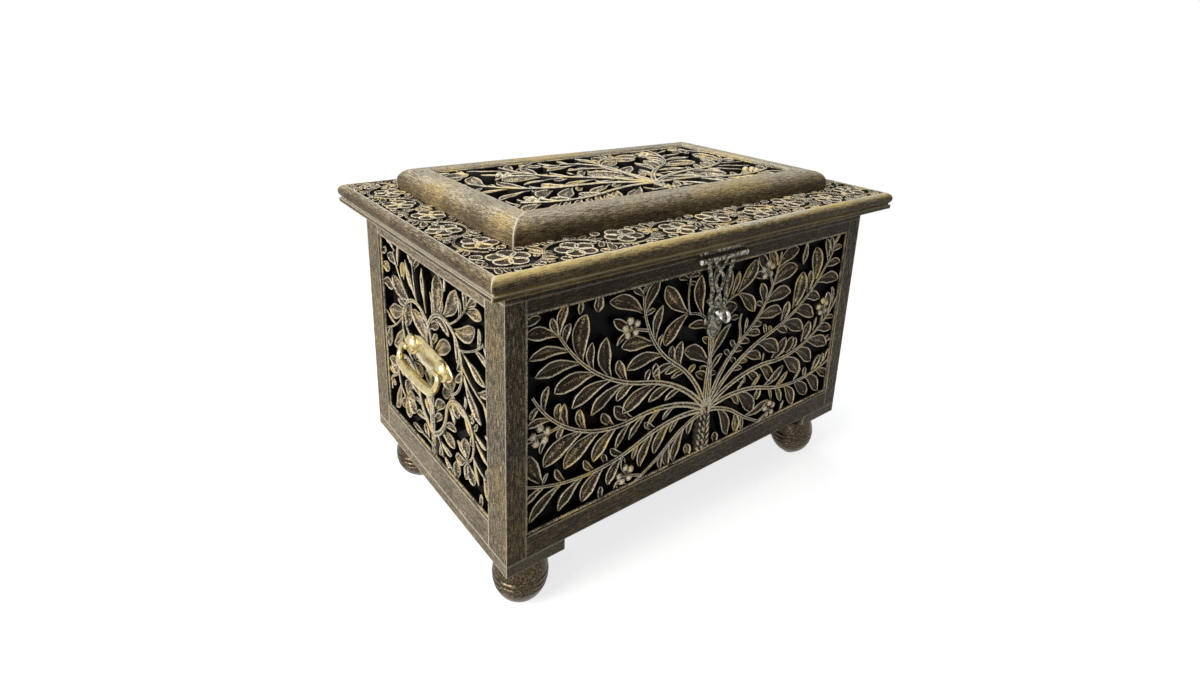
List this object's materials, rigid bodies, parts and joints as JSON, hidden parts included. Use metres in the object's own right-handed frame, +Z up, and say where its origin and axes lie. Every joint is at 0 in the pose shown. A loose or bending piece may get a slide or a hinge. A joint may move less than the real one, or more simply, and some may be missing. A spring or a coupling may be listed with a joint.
{
  "type": "keepsake box",
  "caption": "Footed keepsake box with a hinged lid, pierced carved tree panels in its walls and lid, bun feet, a brass hasp and staple and two drop handles.",
  "frame": {"origin": "on the floor under the middle of the lid's outline, which is the widest part of the box; Z = 0 is where the four bun feet stand", "axes": "+X to the box's right as seen from its front, along its width, -Y out of the front, +Z up"},
  "size_m": [0.4656, 0.296, 0.3254],
  "materials": {
    "frame_bronze": "satin",
    "carved_gilt": "satin",
    "dark_backing": "matte",
    "plain_wood": "matte",
    "turned_bronze": "gloss",
    "aged_brass": "satin",
    "polished_brass": "gloss"
  },
  "bodies": {
    "case": {"back_backing_board": "dark_backing", "back_bottom_rail": "frame_bronze", "back_panel": "plain_wood", "back_top_rail": "frame_bronze", "bun_foot_back_left": "turned_bronze", "bun_foot_back_right": "turned_bronze", "bun_foot_front_left": "turned_bronze", "bun_foot_front_right": "turned_bronze", "case_hinge_leaves": "aged_brass", "corner_post_back_left": "frame_bronze", "corner_post_back_right": "frame_bronze", "corner_post_front_left": "frame_bronze", "corner_post_front_right": "frame_bronze", "floor_board": "plain_wood", "front_backing_board": "dark_backing", "front_bottom_rail": "frame_bronze", "front_carved_panel": "carved_gilt", "front_top_rail": "frame_bronze", "hasp_staple": "aged_brass", "hinge_pins": "aged_brass", "left_backing_board": "dark_backing", "left_bottom_rail": "frame_bronze", "left_carved_panel": "carved_gilt", "left_handle_plate": "polished_brass", "left_runner": "frame_bronze", "left_top_rail": "frame_bronze", "right_backing_board": "dark_backing", "right_bottom_rail": "frame_bronze", "right_carved_panel": "carved_gilt", "right_handle_plate": "polished_brass", "right_runner": "frame_bronze", "right_top_rail": "frame_bronze"},
    "lid": {"hasp_pin": "aged_brass", "hasp_plate": "aged_brass", "lid_board": "frame_bronze", "lid_border_back": "frame_bronze", "lid_border_front": "frame_bronze", "lid_border_left": "frame_bronze", "lid_border_right": "frame_bronze", "lid_carved_panel": "carved_gilt", "lid_hinge_leaves": "aged_brass", "lid_nosing_back": "frame_bronze", "lid_nosing_front": "frame_bronze", "lid_nosing_left": "frame_bronze", "lid_nosing_right": "frame_bronze", "lid_panel_backing": "dark_backing", "lid_skirt_back": "frame_bronze", "lid_skirt_front": "frame_bronze", "lid_skirt_left": "frame_bronze", "lid_skirt_right": "frame_bronze", "raised_frame_back": "frame_bronze", "raised_frame_front": "frame_bronze", "raised_frame_left": "frame_bronze", "raised_frame_right": "frame_bronze"},
    "hasp": {"hasp_strap": "aged_brass"},
    "left_bail": {"left_bail": "polished_brass"},
    "right_bail": {"right_bail": "polished_brass"}
  },
  "joints": [
    {"name": "lid_hinge", "type": "hinge", "parent": "case", "child": "lid", "pos_m": [0, 0.138, 0.279], "axis": [-1, 0, 0], "range_deg": [0, 105]},
    {"name": "hasp_hinge", "type": "hinge", "parent": "lid", "child": "hasp", "pos_m": [0, -0.131, 0.277], "axis": [-1, 0, 0], "range_deg": [0, 115]},
    {"name": "left_bail_hinge", "type": "hinge", "parent": "case", "child": "left_bail", "pos_m": [-0.215, 0.0035, 0.1855], "axis": [0, 1, 0], "range_deg": [0, 110]},
    {"name": "right_bail_hinge", "type": "hinge", "parent": "case", "child": "right_bail", "pos_m": [0.215, 0.0035, 0.1855], "axis": [0, -1, 0], "range_deg": [0, 110]}
  ]
}
